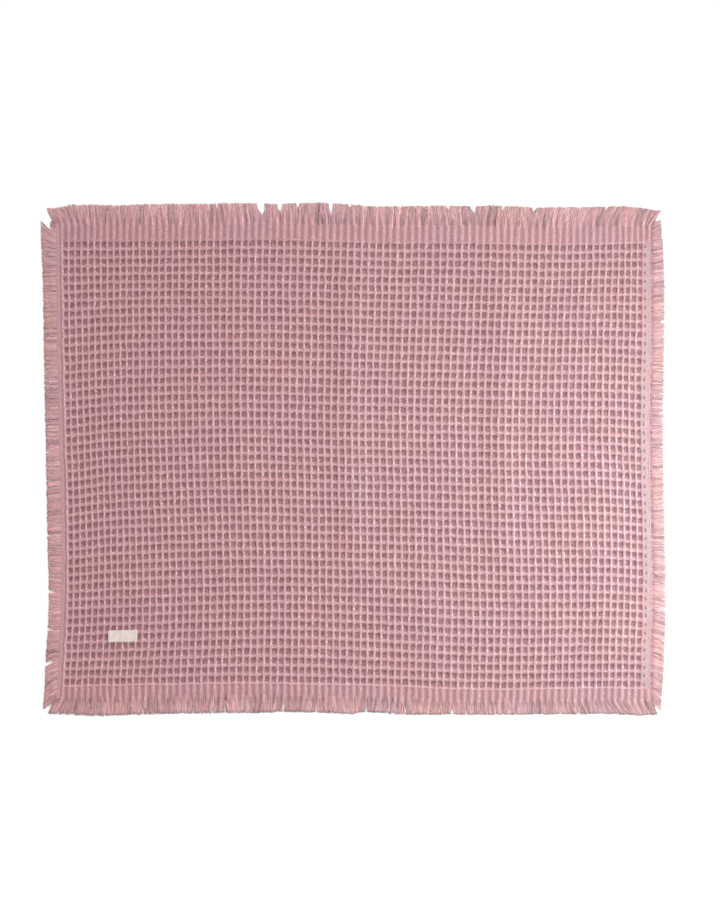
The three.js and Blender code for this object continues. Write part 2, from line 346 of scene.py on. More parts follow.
def pulled(x, y):
    """Where the cloth at a place of the true weave really lies."""
    right = np.full_like(x, BODY_OFFSET.x)
    up = np.full_like(y, BODY_OFFSET.y)
    for p in PULLS:
        share = np.exp(-(((x - p.x) / p.reach_x) ** 2) - ((y - p.y) / p.reach_y) ** 2)
        right += share * p.right
        up += share * p.up
    return x + right, y + up


def smooth_step(value, start, end):
    """0 below start, 1 above end, and a soft S between them."""
    share = np.clip((value - start) / (end - start), 0, 1)
    return share * share * (3 - 2 * share)


def lifted(x, y):
    """How far a crease holds the cloth off the surface."""
    height = np.zeros_like(x)
    for c in CREASES:
        across = np.exp(-(((x - c.x) / c.half) ** 2))
        front = smooth_step(y, c.front - CREASE_FADE, c.front)
        back = 1 - smooth_step(y, c.back - CREASE_FADE, c.back)
        height += c.rise * across * front * back
    return height


def knot_field(seed, spread):
    """A random value for each crossing of two ridges."""
    return np.random.default_rng(seed).normal(0, spread, (ROWS + 1, COLUMNS + 1))


SIDE_WANDER = knot_field(21, RIDGE_WANDER)
LONG_WANDER = knot_field(22, RIDGE_WANDER)
HEIGHT_WANDER = knot_field(23, CREST_WANDER)


def at_crossings(field, column, row):
    """A field of the crossings, blended at any place of the weave and held beyond its edges."""
    column = np.clip(column, 0, COLUMNS - 1e-6)
    row = np.clip(row, 0, ROWS - 1e-6)
    c, r = column.astype(int), row.astype(int)
    u, v = column - c, row - r
    near = field[r, c] * (1 - u) + field[r, c + 1] * u
    far = field[r + 1, c] * (1 - u) + field[r + 1, c + 1] * u
    return near * (1 - v) + far * v


def column_of(x):
    return (x - FIRST_RIB) / COLUMN_PITCH


def row_of(y):
    return (y - WAFFLE_FRONT) / ROW_PITCH


def laid(x, y, z):
    """A point of the true weave where the real, uneven cloth has it, in metres."""
    column, row = column_of(x), row_of(y)
    moved_x, moved_y = pulled(x, y)
    moved_x = moved_x + at_crossings(SIDE_WANDER, column, row)
    moved_y = moved_y + at_crossings(LONG_WANDER, column, row)
    return np.stack((moved_x, moved_y, z + lifted(x, y)), axis=1) * MM


# Meshes

def shown(name, mesh, material):
    """A new, smooth object at the origin that rides on the blanket's one body."""
    mesh.materials.clear()
    mesh.materials.append(material)
    mesh.polygons.foreach_set("use_smooth", np.full(len(mesh.polygons), True))
    piece = bpy.data.objects.new(name, mesh)
    bpy.context.scene.collection.objects.link(piece)
    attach(piece, "root")
    return piece


def points_of(mesh):
    co = np.empty(len(mesh.vertices) * 3)
    mesh.vertices.foreach_get("co", co)
    return co.reshape(-1, 3)


def set_points(mesh, co):
    mesh.vertices.foreach_set("co", np.asarray(co, np.float32).ravel())
    mesh.update()


def note(mesh, name, *columns):
    """Writes three numbers on every point, for the materials to read."""
    values = np.stack([np.broadcast_to(c, len(mesh.vertices)) for c in columns], axis=1)
    attribute = mesh.attributes.new(name, "FLOAT_VECTOR", "POINT")
    attribute.data.foreach_set("vector", values.astype(np.float32).ravel())


def drawn_slab(name, columns, rows):
    """A closed slab drawn in grid steps: a fine top at height 1, an underside half as fine at height 0."""
    bm = bmesh.new()
    for level, step in ((0, 2), (1, 1)):
        place = Matrix.Translation((columns / 2, rows / 2, level)) @ Matrix.Diagonal((columns, rows, 1, 1))
        bmesh.ops.create_grid(bm, x_segments=columns // step, y_segments=rows // step, size=0.5, matrix=place)
        if level == 0:
            rim = [e for e in bm.edges if e.is_boundary]
            bmesh.ops.subdivide_edges(bm, edges=rim, cuts=1)
    rim = [e for e in bm.edges if e.is_boundary and e.verts[0].co.z > 0.5]
    wall = bmesh.ops.extrude_edge_only(bm, edges=rim)["geom"]
    for vert in (g for g in wall if isinstance(g, bmesh.types.BMVert)):
        vert.co.z = 0
    for edge in rim:
        edge.smooth = False
    bmesh.ops.remove_doubles(bm, verts=bm.verts, dist=0.1)
    bmesh.ops.recalc_face_normals(bm, faces=bm.faces)
    mesh = bpy.data.meshes.new(name)
    bm.to_mesh(mesh)
    bm.free()
    return mesh


def cloth_slab(name, across, down, top, underside):
    """A closed slab of cloth with a grid line at each place of across and down. top and underside
    give its heights at a place, and the share of the way from a cell's floor to a crest is noted."""
    mesh = drawn_slab(name, len(across) - 1, len(down) - 1)
    steps = points_of(mesh)
    x = np.asarray(across, float)[steps[:, 0].round().astype(int)]
    y = np.asarray(down, float)[steps[:, 1].round().astype(int)]
    on_top = steps[:, 2] > 0.5
    height = top(x, y)
    z = np.where(on_top, height, np.minimum(underside(x, y), height - LEAST_THICKNESS))
    set_points(mesh, laid(x, y, np.maximum(z, 0)))
    share = np.clip((height - CELL_FLOOR) / (CREST - CELL_FLOOR), 0, 1)
    note(mesh, "weave", column_of(x), row_of(y), np.where(on_top, share, 0.5))
    return mesh


def ridge(distance, half):
    """A round ridge: 1 on its crest and 0 from half its width on."""
    return (1 + np.cos(np.pi * np.clip(distance / half, 0, 1))) / 2


def from_line(place, pitch):
    """Distance to the nearest of a row of ridges, a pitch apart."""
    return np.abs(place - np.round(place)) * pitch


# The waffle cloth

def relief(x, y):
    """How high the cloth stands at a place, from 0 on a cell's floor to 1 on a crest."""
    column, row = column_of(x), row_of(y)
    warp = ridge(from_line(column, COLUMN_PITCH), WARP_RIDGE_HALF)
    weft = WEFT_RIDGE_SHARE * ridge(from_line(row, ROW_PITCH), WEFT_RIDGE_HALF)
    cells = (warp ** RIDGE_JOIN + weft ** RIDGE_JOIN) ** (1 / RIDGE_JOIN)
    left = np.interp(x, [r.at for r in LEFT_SELVEDGE] + [FIRST_RIB], [r.share for r in LEFT_SELVEDGE] + [1])
    right = np.interp(x, [LAST_RIB] + [r.at for r in RIGHT_SELVEDGE], [1] + [r.share for r in RIGHT_SELVEDGE])
    in_dot = (x > DOTS[0]) & (x < DOTS[1]) & (from_line(row, 1) > DOT_GAP)
    right = np.where(in_dot, DOT_FLOOR, right)
    return np.where(x < FIRST_RIB, left, np.where(x > LAST_RIB, right, np.minimum(cells, 1)))


def waffle_top(x, y):
    wander = at_crossings(HEIGHT_WANDER, column_of(x), row_of(y))
    wander = np.clip(wander, -CREST_WANDER_LIMIT, CREST_WANDER_LIMIT)
    return CELL_FLOOR + (CREST - CELL_FLOOR) * relief(x, y) + wander * relief(x, y)


def waffle_underside(x, y):
    """The cells show from below too, as the bumps between hollows."""
    return UNDER_RIDGE * relief(x, y) ** 1.5


def waffle_cloth(material):
    columns = [FIRST_RIB + (c + f) * COLUMN_PITCH for c in range(COLUMNS) for f in COLUMN_LINES]
    across = [r.at for r in LEFT_SELVEDGE] + columns + [LAST_RIB] + [r.at for r in RIGHT_SELVEDGE]
    down = [WAFFLE_FRONT + (r + f) * ROW_PITCH for r in range(ROWS) for f in ROW_LINES] + [WAFFLE_BACK]
    mesh = cloth_slab("waffle_cloth", across, down, waffle_top, waffle_underside)
    cloth = shown("waffle_cloth", mesh, material)
    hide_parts("cloth")
    return cloth


# The bands and strips that back the fringe

def band_top(x, y):
    """Ribs that carry on from the warp ridges. They start at the height of the waffle's last
    weft ridge, and get lower towards the loose ends."""
    out = np.maximum(y - WAFFLE_BACK, WAFFLE_FRONT - y)
    column = column_of(x)
    rib = 1 - smooth_step(from_line(column, 1), 0.1, 0.4)
    start = waffle_top(x, np.where(y > 0, WAFFLE_BACK, WAFFLE_FRONT))
    ribs = RIB_VALLEY + (RIB_TOP - RIB_VALLEY) * rib - BAND_DROP * smooth_step(out, 10, BACK_BAND)
    return start + (ribs - start) * smooth_step(out, 0, BAND_START)


def flat_underside(x, y):
    return np.zeros_like(x)


def ribbed_band(name, waffle_end, body_end, node, material):
    """A band from the waffle's end to the body's, with enough grid lines to carry its ribs."""
    edge = HALF_WIDTH - SIDE_STRIP
    ribs = [FIRST_RIB + k * COLUMN_PITCH / RIB_PARTS for k in range(-RIB_PARTS, RIB_PARTS * (COLUMNS + 2))]
    inside = [x for x in ribs if -edge + 0.5 < x < edge - 0.5]
    across = [-edge] + inside[len(inside) % 2 == 0:] + [edge]
    down = sorted(waffle_end + (body_end - waffle_end) * share for share in BAND_LINES)
    band = shown(name, cloth_slab(name, across, down, band_top, flat_underside), material)
    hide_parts(node)
    return band


def strip_top(x, y):
    """Level at first and lower at the edge. The right strip sinks further, from its middle on."""
    out = (np.abs(x) - HALF_WIDTH + SIDE_STRIP) / SIDE_STRIP
    sunk = np.where(x > 0, STRIP_SUNK * smooth_step(out, 0.35, 0.7), 0)
    return STRIP_TOP - STRIP_DROP * smooth_step(out, 0.4, 1) - sunk


def side_strip(name, outward, node, material):
    """The outermost strip of a selvedge, where the weft ends leave the cloth."""
    across = np.sort(outward * np.linspace(HALF_WIDTH - SIDE_STRIP, HALF_WIDTH, STRIP_ACROSS))
    down = np.linspace(BODY_FRONT, BODY_BACK, STRIP_DOWN)
    strip = shown(name, cloth_slab(name, across, down, strip_top, flat_underside), material)
    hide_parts(node)
    return strip


# The loose ends

# The yarns of one layer: where each starts on the true weave and on the real cloth, the middle of
# its bunch, and how it differs from the others
Yarns = namedtuple("Yarns", "root place middle reach lean radius wave fray rise tone")


def straight_yarn(steps):
    """One tube of radius 1 along z from 0 to 1, its UV running round it and along it."""
    bm = bmesh.new()
    place = Matrix.Translation((0, 0, 0.5))
    bmesh.ops.create_cone(
        bm, cap_ends=True, segments=YARN_SIDES, radius1=1, radius2=1, depth=1, matrix=place, calc_uvs=False
    )
    lengthwise = [e for e in bm.edges if abs(e.verts[0].co.z - e.verts[1].co.z) > 0.5]
    bmesh.ops.subdivide_edges(bm, edges=lengthwise, cuts=steps - 1)
    turns = bm.loops.layers.uv.new("turns")
    for face in bm.faces:
        around = [math.atan2(loop.vert.co.y, loop.vert.co.x) / math.tau % 1 for loop in face.loops]
        wraps = max(around) - min(around) > 0.5
        for loop, turn in zip(face.loops, around):
            loop[turns].uv = (turn + 1 if wraps and turn < 0.5 else turn, loop.vert.co.z)
    mesh = bpy.data.meshes.new("yarn")
    bm.to_mesh(mesh)
    bm.free()
    return mesh


def copies(mesh, name, count):
    """One mesh that holds count copies of another, one after the other."""
    holder = bpy.data.objects.new(name, mesh)
    bpy.context.scene.collection.objects.link(holder)
    array = holder.modifiers.new("array", "ARRAY")
    array.count = count
    array.use_relative_offset = False
    joined = bpy.data.meshes.new_from_object(holder.evaluated_get(bpy.context.evaluated_depsgraph_get()))
    bpy.data.objects.remove(holder)
    joined.name = name
    return joined


def bunches(place, edge, draw):
    """Splits a row of yarns into bunches: the middle of each yarn's bunch, and its number."""
    most = int(3 * edge.half / edge.manner.bunch)
    gaps = edge.manner.bunch * draw.uniform(BUNCH_LEAST, BUNCH_MOST, most)
    breaks = place[0] + np.cumsum(gaps)
    breaks = np.sort(np.concatenate((breaks, [p.at for p in edge.partings])))
    numbers = np.unique(np.searchsorted(breaks, place), return_inverse=True)[1]
    middles = np.bincount(numbers, place) / np.bincount(numbers)
    return middles[numbers], numbers


def each(value):
    """One value a yarn, against the points of its tube."""
    return value[:, None]


def body_top(edge, x, y):
    """The height of what holds the yarns of an edge: its ribbed band, or the strip of a selvedge."""
    if edge.out[1]:
        return band_top(x, y)
    return strip_top(x, y)


def drawn_yarns(edge, over, root, place, draw):
    """How each yarn of a row differs at random from the next, calmer beside a parting."""
    middle, bunch = bunches(place, edge, draw)
    total = bunch.max() + 1
    count = len(place)
    from_parting = np.min([np.abs(place - p.at) for p in edge.partings], axis=0)
    stray = 1 - 0.8 * np.exp(-((from_parting / CALM_REACH) ** 2))
    at = [lock.at for lock in edge.locks]
    reach = np.interp(root, at, [lock.reach for lock in edge.locks])
    reach += draw.normal(0, BUNCH_REACH_SPREAD, total)[bunch] + draw.normal(0, YARN_REACH_SPREAD, count)
    lean = np.interp(root, at, [lock.lean for lock in edge.locks])
    bunch_lean = draw.normal(0, edge.manner.lean, total)[bunch]
    lean += (bunch_lean + draw.standard_t(STRAY_TAIL, count) * YARN_LEAN_SPREAD) * stray
    radius = (YARN_RADIUS if over else UNDER_RADIUS) * draw.normal(1, RADIUS_SPREAD, count)
    wave = draw.uniform(0, math.tau, count)
    fray = draw.normal(0, FRAY_SPREAD, count) * stray
    rise = draw.normal(0, edge.manner.rise, total)[bunch] + draw.normal(0, YARN_RISE_SPREAD, count)
    pair_tone = np.repeat(draw.normal(0, 1, count // 2 + 1), 2)[:count]
    bunch_tone = TONE_SHARE * draw.normal(0, 1, total)[bunch]
    tone = bunch_tone + pair_tone + TONE_SHARE * draw.standard_t(STRAY_TAIL, count)
    return Yarns(root, place, middle, reach, lean, radius, wave, fray, rise, tone)


def sideways(edge, over, yarns, free):
    """How far along the edge yarns lie from where they start, by the share of their free length."""
    early = each(np.exp((np.abs(yarns.root) - edge.half) / CORNER_REACH))
    side = each(yarns.lean) * free ** (1.5 - 0.9 * early)
    gather = edge.manner.gather if over else 0
    side += each(yarns.middle - yarns.place) * gather * smooth_step(free, 0, 0.6)
    waves = WAVE_HEIGHT * np.sin(free * WAVE_TURN + each(yarns.wave)) * smooth_step(free, 0, 0.6)
    side += each(yarns.fray) * smooth_step(free, 0.4, 1) + waves
    reach = each(yarns.reach)
    for p in edge.partings:
        away = each(yarns.place - p.at)
        opened = smooth_step(free * reach, reach - p.depth, reach - 0.35 * p.depth)
        opened = opened * (1 - edge.closed * smooth_step(free, 0.75, 1))
        side += np.sign(away) * p.width * 0.8 * np.exp(-np.abs(away) / PARTING_REACH) * opened
    return side


def upwards(over, yarns, surface, out, free):
    """How high yarns lie: in the cloth while they are held, and then down to where their layer rests."""
    held_height = surface - EDGE_DEPTH - START_DEPTH * np.clip(-out / YARN_ROOTED, 0, 1)
    if not over:
        held_height = held_height * UNDER_SHARE
    lying = YARN_RADIUS + (OVER_HEIGHT if over else UNDER_HEIGHT) + each(yarns.rise)
    ripple = 0.25 * np.sin(free * 4 + each(yarns.wave) * 2)
    return held_height + (lying + ripple - held_height) * smooth_step(free, 0, 0.4)


def loose_ends(edge, over, material):
    """The yarn ends along one side, in bunches that lean, part and fray. Those of the upper layer
    come straight out of the weave, and the others lie under them."""
    draw = np.random.default_rng(edge.seed + (100 if over else 0))
    root = np.arange(-edge.half + YARN_RADIUS, edge.half - YARN_RADIUS, YARN_PITCH)
    root += draw.normal(0, PLACE_SPREAD, len(root))
    out_x, out_y = edge.out
    along_x, along_y = abs(out_y), abs(out_x)
    root_x = root * along_x + edge.root * out_x
    root_y = root * along_y + edge.root * out_y
    pulled_x, pulled_y = pulled(root_x, root_y)
    yarns = drawn_yarns(edge, over, root, pulled_x * along_x + pulled_y * along_y, draw)

    yarn = straight_yarn(OVER_STEPS if over else UNDER_STEPS)
    ring = points_of(yarn)
    name = edge.name + ("_ends" if over else "_under_ends")
    mesh = copies(yarn, name, len(root))
    share = ring[:, 2]
    loose = each(yarns.reach + 1) * (share - HELD_SHARE) / (1 - HELD_SHARE) - 1
    out = np.where(share < HELD_SHARE, -YARN_ROOTED + (YARN_ROOTED - 1) * share / HELD_SHARE, loose)
    free = np.clip(out / each(yarns.reach), 0, 1)

    body_x = each(root_x) + np.minimum(out, 0) * out_x
    body_y = each(root_y) + np.minimum(out, 0) * out_y
    surface = body_top(edge, body_x, body_y) + lifted(body_x, body_y)
    thin = each(yarns.radius) * (1 - TIP_TAPER * smooth_step(free, 0.85, 1))
    side = sideways(edge, over, yarns, free) + thin * ring[:, 0]
    x = each(pulled_x) + out * out_x + side * along_x
    y = each(pulled_y) + out * out_y + side * along_y
    z = np.maximum(upwards(over, yarns, surface, out, free) + thin * ring[:, 1], 0.02)
    set_points(mesh, np.stack((x.ravel(), y.ravel(), z.ravel()), axis=1) * MM)

    # Painted shade on yarns that leave a band's groove, fading along them, and on the right fringe's yarns
    # where they leave the sunk strip
    groove = smooth_step(from_line(column_of(root), 1), 0.12, 0.36) * along_x
    shade = each(groove) * (0.65 - 0.6 * smooth_step(free, 0.1, 0.8))
    if edge.name == "right":
        shade = shade + 1 - smooth_step(out, 1, 6)
    note(mesh, "yarn", np.repeat(yarns.tone, len(ring)), shade.ravel(), 0)
    ends = shown(name, mesh, material)
    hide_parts(edge.node)
    return ends


# The label

def label_top(x, y):
    """A tape folded under at both short ends, a little lower at its edges."""
    from_middle = np.abs(x - LABEL["x"])
    hem = smooth_step(from_middle, LABEL["width"] / 2 - LABEL_HEM - 0.6, LABEL["width"] / 2 - LABEL_HEM)
    edge = np.minimum(LABEL["width"] / 2 - from_middle, LABEL["length"] / 2 - np.abs(y - LABEL["y"]))
    ripple = LABEL_RIPPLE * np.cos(math.tau * column_of(x))
    flat_top = LABEL["under"] + LABEL["thick"] * (LAYER_SHARE + HEM_SHARE * hem) + ripple
    return flat_top - 0.25 * (1 - smooth_step(edge, 0, LABEL_RIM))


def label_underside(x, y):
    return np.full_like(x, LABEL["under"])


def rimmed(middle, half, lines):
    """Grid lines across the label, with one more at each edge for its rounded rim."""
    inner = np.linspace(-half + LABEL_RIM, half - LABEL_RIM, lines)
    return middle + np.concatenate(([-half], inner, [half]))


def label_tape(material):
    across = rimmed(LABEL["x"], LABEL["width"] / 2, 47)
    down = rimmed(LABEL["y"], LABEL["length"] / 2, 19)
    mesh = cloth_slab("label_tape", across, down, label_top, label_underside)
    tape = shown("label_tape", mesh, material)
    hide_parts("label")
    return tape


def label_stitches(material):
    """A row of short stitches across each end of the label."""
    stitch = straight_yarn(UNDER_STEPS)
    ring = points_of(stitch)
    mesh = copies(stitch, "label_stitches", 2 * STITCHES)
    number = np.arange(2 * STITCHES)
    end = np.where(number < STITCHES, -1, 1)
    pitch = LABEL["length"] / STITCHES
    seam = LABEL["x"] + end * (LABEL["width"] / 2 - STITCH_INSET)
    middle = LABEL["y"] + (number % STITCHES - (STITCHES - 1) / 2) * pitch
    along = ring[:, 2] - 0.5
    x = each(seam) + STITCH_RADIUS * ring[:, 0]
    y = each(middle) + STITCH_LENGTH * along
    dip = STITCH_RADIUS * 3 * (2 * along) ** 4
    z = label_top(x, y) + STITCH_RADIUS * ring[:, 1] - dip
    set_points(mesh, laid(x.ravel(), y.ravel(), z.ravel()))
    stitches = shown("label_stitches", mesh, material)
    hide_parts("label")
    return stitches


# Node groups and materials

def new_group(name, inputs, outputs):
    """An empty node group with its named sockets. Inputs have a kind and a default, outputs a kind."""
    tree = bpy.data.node_groups.new(name, "ShaderNodeTree")
    for label, kind, default in inputs:
        socket = tree.interface.new_socket(name=label, in_out="INPUT", socket_type=kind)
        if default is not None:
            socket.default_value = default
    for label, kind in outputs:
        tree.interface.new_socket(name=label, in_out="OUTPUT", socket_type=kind)
    return tree, tree.nodes.new("NodeGroupInput"), tree.nodes.new("NodeGroupOutput")


def join(tree, source, target):
    """Feeds an input from an output, or sets it to a value."""
    if isinstance(source, bpy.types.NodeSocket):
        tree.links.new(source, target)
    else:
        target.default_value = source


def calculated(tree, operation, *values):
    node = tree.nodes.new("ShaderNodeMath")
    node.operation = operation
    for value, socket in zip(values, node.inputs):
        join(tree, value, socket)
    return node.outputs[0]


def soft_range(tree, value, start, end, first=0.0, last=1.0):
    """A soft S from first to last while value goes from start to end."""
    node = tree.nodes.new("ShaderNodeMapRange")
    node.interpolation_type = "SMOOTHSTEP"
    given = {"Value": value, "From Min": start, "From Max": end, "To Min": first, "To Max": last}
    for label, source in given.items():
        join(tree, source, node.inputs[label])
    return node.outputs["Result"]


def mixed(tree, share, first, second, blend="MIX"):
    """Two colours mixed by a share."""
    node = tree.nodes.new("ShaderNodeMix")
    node.data_type = "RGBA"
    node.blend_type = blend
    factor, a, b = node.inputs[0], node.inputs[6], node.inputs[7]
    join(tree, share, factor)
    join(tree, first, a)
    join(tree, second, b)
    return node.outputs[2]


def noise(tree, place, scale, detail=2.0):
    node = tree.nodes.new("ShaderNodeTexNoise")
    join(tree, place, node.inputs["Vector"])
    node.inputs["Scale"].default_value = scale
    node.inputs["Detail"].default_value = detail
    return node.outputs["Fac"]


def wobble(tree, place, scale):
    """A smooth random vector, from 0 to 1 each way."""
    node = tree.nodes.new("ShaderNodeTexNoise")
    join(tree, place, node.inputs["Vector"])
    node.inputs["Scale"].default_value = scale
    node.inputs["Detail"].default_value = 2
    return node.outputs["Color"]


def moved(tree, place, random_place, width):
    """A place shifted at random, by half a width at most each way."""
    centred = tree.nodes.new("ShaderNodeVectorMath")
    centred.operation = "MULTIPLY_ADD"
    join(tree, random_place, centred.inputs[0])
    centred.inputs[1].default_value = (width, width, 0)
    centred.inputs[2].default_value = (-width / 2, -width / 2, 0)
    node = tree.nodes.new("ShaderNodeVectorMath")
    join(tree, place, node.inputs[0])
    join(tree, centred.outputs[0], node.inputs[1])
    return node.outputs[0]


def parts_of(tree, vector):
    node = tree.nodes.new("ShaderNodeSeparateXYZ")
    join(tree, vector, node.inputs[0])
    return node.outputs


def noted(tree, name):
    """What the script noted on the points of a mesh."""
    node = tree.nodes.new("ShaderNodeAttribute")
    node.attribute_name = name
    return node.outputs["Vector"]


def object_place(tree):
    return tree.nodes.new("ShaderNodeTexCoord").outputs["Object"]


def placed(tree, group, **inputs):
    """A node group in a material, with its own values."""
    node = tree.nodes.new("ShaderNodeGroup")
    node.node_tree = group
    for label, value in inputs.items():
        join(tree, value, node.inputs[label.replace("_", " ")])
    return node.outputs


def highlight_line(tree, across, along, bow, crossed):
    """A thin painted highlight line along each whole number of across. It bows to one side between two
    crossings, drifts at random, comes and goes along its length, and keeps a share, crossed, of
    its strength where it crosses the other ridges."""
    nearest = calculated(tree, "ROUND", across)
    strand = tree.nodes.new("ShaderNodeCombineXYZ")
    join(tree, calculated(tree, "MULTIPLY", nearest, LINE_STEP), strand.inputs[0])
    join(tree, along, strand.inputs[1])
    drift = soft_range(tree, noise(tree, strand.outputs[0], 1.1), 0.3, 0.7, -LINE_DRIFT, LINE_DRIFT)
    bowed = calculated(tree, "MULTIPLY_ADD", calculated(tree, "PINGPONG", along, 0.5), 2 * bow, drift)
    off = calculated(tree, "SUBTRACT", calculated(tree, "SUBTRACT", across, nearest), bowed)
    strength = soft_range(tree, noise(tree, strand.outputs[0], 4.5), 0.38, 0.6)
    between = soft_range(tree, calculated(tree, "PINGPONG", along, 0.5), 0.03, 0.22, crossed, 1.0)
    strength = calculated(tree, "MULTIPLY", strength, between)
    line = soft_range(tree, calculated(tree, "ABSOLUTE", off), 0.01, 0.075, 1.0, 0.0)
    return calculated(tree, "MULTIPLY", line, strength)


def cells_group():
    """Where a place is in its cell, from the column and row noted on the cloth: its distance from
    the warp and weft ridges in shares of a pitch, the thin painted highlight lines on the ridges, how
    light the cell's floor is painted there, a random value for each cell, and the relief of the yarns."""
    results = ("Across", "Along", "Warp Highlight", "Weft Highlight", "Light", "Cell", "Yarns")
    tree, start, end = new_group(
        "waffle cells",
        [("Place", "NodeSocketVector", None)],
        [(label, "NodeSocketFloat") for label in results],
    )
    place = start.outputs["Place"]
    uneven = moved(tree, place, wobble(tree, place, CELL_WOBBLE_SCALE), CELL_WOBBLE)
    uneven = moved(tree, uneven, wobble(tree, place, FINE_WOBBLE_SCALE), FINE_WOBBLE)
    column, row, _ = parts_of(tree, uneven)
    across = calculated(tree, "PINGPONG", column, 0.5)
    along = calculated(tree, "PINGPONG", row, 0.5)

    whole = tree.nodes.new("ShaderNodeVectorMath")
    whole.operation = "FLOOR"
    join(tree, place, whole.inputs[0])
    chance = tree.nodes.new("ShaderNodeTexWhiteNoise")
    join(tree, whole.outputs[0], chance.inputs["Vector"])
    # How light a cell's floor is painted: uneven floats, painted light towards the ridge below and painted
    # shade under the ridge above, and a middle lighter at random
    floats = soft_range(tree, noise(tree, place, 2.3, 1), 0.42, 0.58, 0.0, 0.45)
    lower = soft_range(tree, calculated(tree, "FRACT", row), 0.2, 0.75, 0.3, 0.0)
    middle = soft_range(tree, across, 0.34, 0.48, 0.0, 0.7)
    core = calculated(tree, "MULTIPLY", middle, noise(tree, place, 1.4))
    light = calculated(tree, "ADD", calculated(tree, "ADD", floats, lower), core)

    warp_yarns = calculated(tree, "SINE", calculated(tree, "MULTIPLY", column, math.tau * WARP_YARNS))
    weft_yarns = calculated(tree, "SINE", calculated(tree, "MULTIPLY", row, math.tau * WEFT_YARNS))
    warp_share = soft_range(tree, across, 0.12, 0.2, 1.0, 0.25)
    weft_share = calculated(tree, "SUBTRACT", 1, warp_share)
    warp_part = calculated(tree, "MULTIPLY", warp_yarns, warp_share)
    yarns = calculated(tree, "ADD", warp_part, calculated(tree, "MULTIPLY", weft_yarns, weft_share))

    warp_highlight = highlight_line(tree, column, row, LINE_BOW, WARP_LINE_CROSSED)
    weft_highlight = highlight_line(tree, row, column, 0, WEFT_LINE_CROSSED)
    values = (across, along, warp_highlight, weft_highlight, light, chance.outputs["Value"], yarns)
    for label, value in zip(results, values):
        join(tree, value, end.inputs[label])
    return tree


def tone_group():
    """Uneven dye: broad drifts between a warm and a cool pink, and fine flecks of light and dark."""
    tree, start, end = new_group(
        "cotton tone",
        [
            ("Color", "NodeSocketColor", CREST_PINK),
            ("Place", "NodeSocketVector", None),
            ("Drift", "NodeSocketFloat", 0.5),
            ("Fleck", "NodeSocketFloat", 0.5),
        ],
        [("Color", "NodeSocketColor")],
    )
    given = start.outputs["Color"]
    drift = soft_range(tree, noise(tree, start.outputs["Place"], 9, 3), 0.3, 0.7)
    tinted = mixed(tree, 1.0, given, mixed(tree, drift, WARM_TINT, COOL_TINT), "MULTIPLY")
    drifted = mixed(tree, start.outputs["Drift"], given, tinted)
    fleck = soft_range(tree, noise(tree, start.outputs["Place"], 420, 2), 0.3, 0.7, 0.82, 1.18)
    flecked = mixed(tree, 1.0, drifted, fleck, "MULTIPLY")
    join(tree, mixed(tree, start.outputs["Fleck"], drifted, flecked), end.inputs["Color"])
    return tree


def fuzz_group():
    """Fine standing fibres, as height for a bump."""
    tree, start, end = new_group(
        "cotton fuzz",
        [("Place", "NodeSocketVector", None)],
        [("Height", "NodeSocketFloat")],
    )
    fine = noise(tree, start.outputs["Place"], 1500, 2)
    coarse = noise(tree, start.outputs["Place"], 500, 2)
    join(tree, calculated(tree, "ADD", fine, coarse), end.inputs["Height"])
    return tree


def cotton_shader(name):
    """A material whose shader has the dry, slightly fuzzy finish of soft cotton."""
    material = bpy.data.materials.new(name)
    material.use_nodes = True
    shader = material.node_tree.nodes["Principled BSDF"]
    shader.inputs["Roughness"].default_value = 0.6
    shader.inputs["Specular IOR Level"].default_value = 0.5
    shader.inputs["Sheen Weight"].default_value = 0.15
    shader.inputs["Sheen Roughness"].default_value = 0.5
    shader.inputs["Sheen Tint"].default_value = (1, 0.96, 0.96, 1)
    return material, material.node_tree, shader


def bumped(tree, shader, *layers):
    """Feeds the shader's normal from bumps laid on one another, each with its depth in metres."""
    normal = None
    for height, depth in layers:
        bump = tree.nodes.new("ShaderNodeBump")
        bump.inputs["Distance"].default_value = depth
        join(tree, height, bump.inputs["Height"])
        if normal is not None:
            join(tree, normal, bump.inputs["Normal"])
        normal = bump.outputs["Normal"]
    join(tree, normal, shader.inputs["Normal"])


